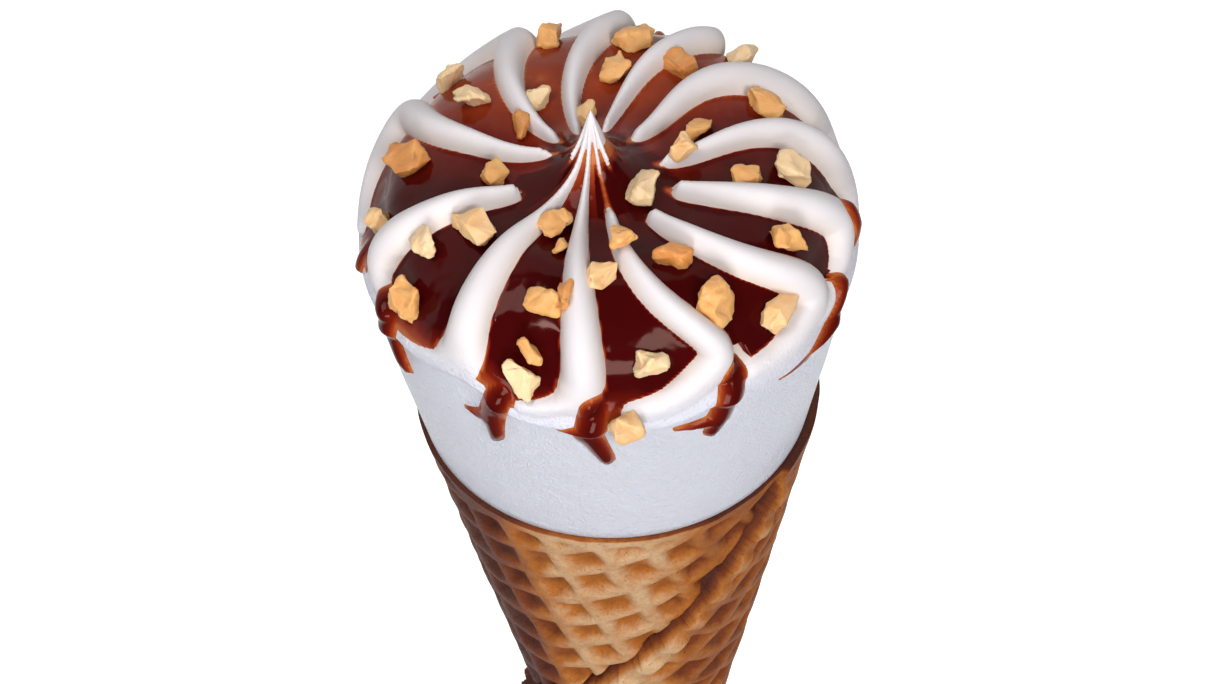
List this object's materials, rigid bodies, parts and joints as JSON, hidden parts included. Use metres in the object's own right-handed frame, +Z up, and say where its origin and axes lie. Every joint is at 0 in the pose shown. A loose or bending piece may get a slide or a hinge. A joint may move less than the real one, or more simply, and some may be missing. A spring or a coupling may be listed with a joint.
{
  "type": "soft serve cone",
  "caption": "Piped soft serve rosette with a centre peak, chocolate sauce and chopped nuts, in a rolled wafer cone that lies on its side.",
  "frame": {"origin": "middle of the bounding box in X and Y, at the level of the surface that the cone lies on", "axes": "+Z up from the surface; the cone lies with its peak towards -Y and the tip of the wafer towards +Y"},
  "size_m": [0.0586, 0.162, 0.0597],
  "materials": {
    "ice_cream": "matte",
    "wafer": "matte",
    "sauce": "gloss",
    "nut": "satin"
  },
  "bodies": {
    "root": {"ice_cream": "ice_cream", "wafer": "wafer"}
  },
  "joints": []
}
